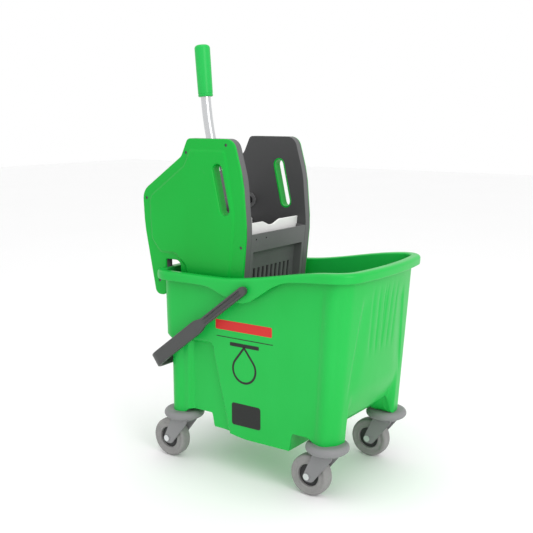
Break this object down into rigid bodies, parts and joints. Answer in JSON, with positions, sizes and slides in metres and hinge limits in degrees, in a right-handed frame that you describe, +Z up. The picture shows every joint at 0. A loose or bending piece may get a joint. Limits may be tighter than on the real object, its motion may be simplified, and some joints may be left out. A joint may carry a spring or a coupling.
{
  "type": "mop bucket with wringer",
  "caption": "Wheeled plastic mop bucket with a rising rolled rim and a swinging bail, carrying a lift-off press wringer that a lever drives through gear sectors and racks.",
  "frame": {"origin": "on the floor, under the middle of the whole object", "axes": "+X to the pouring end, +Y to the left of someone who faces the pouring end, +Z up"},
  "size_m": [0.4903, 0.31, 0.7905],
  "materials": {
    "green_moulding": "satin moulded",
    "green_grip": "soft satin",
    "grey_moulding": "fine grained",
    "pale_moulding": "plain moulded",
    "castor_body": "fine grained",
    "castor_tyre": "matt, non-marking",
    "plated_steel": "bright zinc",
    "dark_steel": "black oxide",
    "lever_steel": "polished"
  },
  "bodies": {
    "bucket": {"bucket_shell": "green_moulding", "bail_pins": "grey_moulding", "castor_bumper_front_left": "castor_body", "castor_bumper_front_right": "castor_body", "castor_bumper_rear_left": "castor_body", "castor_bumper_rear_right": "castor_body", "castor_stem_front_left": "plated_steel", "castor_stem_front_right": "plated_steel", "castor_stem_rear_left": "plated_steel", "castor_stem_rear_right": "plated_steel"},
    "bail": {"bail_handle": "grey_moulding"},
    "wringer": {"front_panel": "grey_moulding", "sieve_plate": "pale_moulding", "back_panel": "grey_moulding", "drain_floor": "grey_moulding", "side_frame_left": "grey_moulding", "side_frame_right": "grey_moulding", "side_cover_left": "green_moulding", "side_cover_right": "green_moulding", "cover_screws_left": "dark_steel", "cover_screws_right": "dark_steel", "shaft_bush_left": "grey_moulding", "shaft_bush_right": "grey_moulding"},
    "press": {"press_plate": "pale_moulding", "rack_left": "pale_moulding", "rack_right": "pale_moulding"},
    "lever": {"cross_shaft": "dark_steel", "lever_hub": "grey_moulding", "lever_bolt": "plated_steel", "lever_tube": "lever_steel", "lever_grip": "green_grip", "gear_sector_left": "grey_moulding", "gear_sector_right": "grey_moulding"},
    "castor_front_left": {"castor_fork_front_left": "castor_body", "castor_axle_front_left": "plated_steel"},
    "wheel_front_left": {"castor_hub_front_left": "castor_body", "castor_tyre_front_left": "castor_tyre"},
    "castor_front_right": {"castor_fork_front_right": "castor_body", "castor_axle_front_right": "plated_steel"},
    "wheel_front_right": {"castor_hub_front_right": "castor_body", "castor_tyre_front_right": "castor_tyre"},
    "castor_rear_left": {"castor_fork_rear_left": "castor_body", "castor_axle_rear_left": "plated_steel"},
    "wheel_rear_left": {"castor_hub_rear_left": "castor_body", "castor_tyre_rear_left": "castor_tyre"},
    "castor_rear_right": {"castor_fork_rear_right": "castor_body", "castor_axle_rear_right": "plated_steel"},
    "wheel_rear_right": {"castor_hub_rear_right": "castor_body", "castor_tyre_rear_right": "castor_tyre"}
  },
  "joints": [
    {"name": "bail_swing", "type": "hinge", "parent": "bucket", "child": "bail", "pos_m": [0.022, 0, 0.357], "axis": [0, 1, 0], "range_deg": [0, 42]},
    {"name": "wringer_lift", "type": "slide", "parent": "bucket", "child": "wringer", "axis": [0, 0, 1], "range_m": [0, 0.17]},
    {"name": "lever_swing", "type": "hinge", "parent": "wringer", "child": "lever", "pos_m": [-0.1355, 0, 0.488], "axis": [0, -1, 0], "range_deg": [0, 67]},
    {"name": "press_slide", "type": "slide", "parent": "wringer", "child": "press", "axis": [1, 0, 0], "range_m": [0, 0.0843]},
    {"name": "swivel_front_left", "type": "hinge", "parent": "bucket", "child": "castor_front_left", "pos_m": [0.173, 0.11, 0.06], "axis": [0, 0, 1], "continuous": true},
    {"name": "roll_front_left", "type": "hinge", "parent": "castor_front_left", "child": "wheel_front_left", "pos_m": [0.141, 0.11, 0.0375], "axis": [0, 1, 0], "continuous": true},
    {"name": "swivel_front_right", "type": "hinge", "parent": "bucket", "child": "castor_front_right", "pos_m": [0.173, -0.11, 0.06], "axis": [0, 0, 1], "continuous": true},
    {"name": "roll_front_right", "type": "hinge", "parent": "castor_front_right", "child": "wheel_front_right", "pos_m": [0.141, -0.11, 0.0375], "axis": [0, 1, 0], "continuous": true},
    {"name": "swivel_rear_left", "type": "hinge", "parent": "bucket", "child": "castor_rear_left", "pos_m": [-0.148, 0.11, 0.06], "axis": [0, 0, 1], "continuous": true},
    {"name": "roll_rear_left", "type": "hinge", "parent": "castor_rear_left", "child": "wheel_rear_left", "pos_m": [-0.18, 0.11, 0.0375], "axis": [0, 1, 0], "continuous": true},
    {"name": "swivel_rear_right", "type": "hinge", "parent": "bucket", "child": "castor_rear_right", "pos_m": [-0.148, -0.11, 0.06], "axis": [0, 0, 1], "continuous": true},
    {"name": "roll_rear_right", "type": "hinge", "parent": "castor_rear_right", "child": "wheel_rear_right", "pos_m": [-0.18, -0.11, 0.0375], "axis": [0, 1, 0], "continuous": true}
  ],
  "couplings": [
    {"joint": "press_slide", "follows": "lever_swing", "m_per_rad": 0.072}
  ]
}
